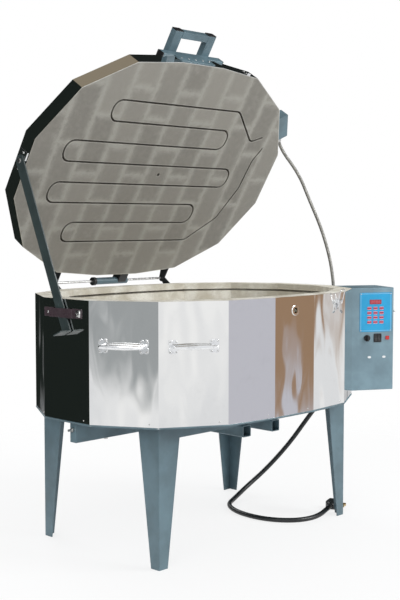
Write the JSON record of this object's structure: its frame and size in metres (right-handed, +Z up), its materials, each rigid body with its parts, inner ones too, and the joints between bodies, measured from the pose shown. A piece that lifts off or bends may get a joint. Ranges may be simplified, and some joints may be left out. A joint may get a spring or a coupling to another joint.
{
  "type": "glass kiln",
  "caption": "Oval top-loading glass kiln on angle legs, steel-banded firebrick lid with a serpentine element propped open, control box, conduit, latch, pull handles and power cord.",
  "frame": {"origin": "on the floor, under the middle of the oval chamber, halfway between the four legs", "axes": "+Z up, -Y towards the front where the latch and peephole are, +X towards the end with the control box, hinge at the back towards +Y"},
  "size_m": [1.4091, 0.9648, 1.7936],
  "materials": {
    "stand": "satin",
    "box_paint": "satin",
    "black_steel": "satin",
    "stainless": "mirror polished",
    "chrome": "polished",
    "zinc": "satin",
    "conduit_steel": "ribbed",
    "element": "oxidised",
    "brick": "matt firebrick",
    "lid_brick": "matt firebrick",
    "porcelain": "matt",
    "black_plastic": "matt",
    "white_plastic": "gloss",
    "blue_panel": "satin",
    "display_red": "gloss",
    "key_red": "satin",
    "lamp_red": "gloss",
    "black_rubber": "satin",
    "brass": "satin"
  },
  "bodies": {
    "body": {"leg_back_right": "stand", "leg_back_left": "stand", "leg_front_right": "stand", "leg_front_left": "stand", "long_rails": "stand", "cross_tubes": "stand", "centre_rails": "stand", "rail_bolts": "zinc", "base_pan": "stand", "floor_slab": "brick", "wall_course_1": "brick", "wall_course_2": "brick", "wall_course_3": "brick", "wall_elements": "element", "body_jacket": "stainless", "peephole_tube": "stainless", "hinge_feet": "black_steel", "hinge_rod": "zinc", "spring_collar": "black_steel", "arm_guide": "stand", "latch_base": "chrome", "pull_plates": "chrome", "pull_grips": "chrome", "control_case": "box_paint", "control_panel": "blue_panel", "display": "display_red", "keypad": "key_red", "rocker_frame": "black_plastic", "pilot_lamp": "lamp_red", "buttons": "white_plastic", "conduit": "conduit_steel", "conduit_fitting_case": "zinc", "power_cord": "black_rubber", "cord_gland": "black_rubber", "plug_body": "black_rubber", "plug_pins": "brass"},
    "lid": {"lid_band": "stainless", "lid_slab": "lid_brick", "lid_element": "element", "lid_terminals": "porcelain", "junction_box": "box_paint", "junction_cover": "box_paint", "handle_tube": "stand", "handle_posts": "stand", "handle_grip": "stand", "handle_caps": "black_plastic", "handle_plate": "stand", "hinge_ears": "black_steel", "spring_tube": "stand", "spring_mount": "black_steel", "arm_bracket": "chrome", "arm_pin": "zinc", "latch_keeper": "chrome", "conduit_fitting_lid": "zinc"},
    "prop_arm": {"prop_arm": "stand"},
    "latch_lever": {"latch_lever": "chrome"},
    "latch_bail": {"latch_bail": "chrome"},
    "knob": {"knob": "black_plastic"},
    "rocker_inner": {"rocker_inner": "black_plastic"},
    "rocker_outer": {"rocker_outer": "black_plastic"}
  },
  "joints": [
    {"name": "lid_hinge", "type": "hinge", "parent": "body", "child": "lid", "pos_m": [0, 0.48881, 0.8791], "axis": [-1, 0, 0], "range_deg": [-58, 0], "deforming": ["conduit"]},
    {"name": "arm_pivot", "type": "hinge", "parent": "lid", "child": "prop_arm", "pos_m": [-0.61596, 0.22936, 1.31224], "axis": [-1, 0, 0], "range_deg": [0, 23.2]},
    {"name": "latch_lever_turn", "type": "hinge", "parent": "body", "child": "latch_lever", "pos_m": [0.25371, -0.44088, 0.8301], "axis": [-0.9945, -0.1045, 0], "range_deg": [0, 140]},
    {"name": "latch_bail_swing", "type": "hinge", "parent": "latch_lever", "child": "latch_bail", "pos_m": [0.25371, -0.44088, 0.8211], "axis": [-0.9945, -0.1045, 0], "range_deg": [-154, 0]},
    {"name": "knob_turn", "type": "hinge", "parent": "body", "child": "knob", "pos_m": [0.56718, -0.33278, 0.6691], "axis": [-0.5, -0.866, 0], "range_deg": [-270, 0]},
    {"name": "rocker_inner_press", "type": "hinge", "parent": "body", "child": "rocker_inner", "pos_m": [0.59944, -0.35141, 0.6691], "axis": [0.866, -0.5, 0], "range_deg": [0, 16]},
    {"name": "rocker_outer_press", "type": "hinge", "parent": "body", "child": "rocker_outer", "pos_m": [0.61113, -0.35816, 0.6691], "axis": [0.866, -0.5, 0], "range_deg": [0, 16]}
  ],
  "couplings": [
    {"joint": "arm_pivot", "follows": "lid_hinge", "ratio": -0.4},
    {"joint": "latch_bail_swing", "follows": "latch_lever_turn", "ratio": -1.1}
  ]
}
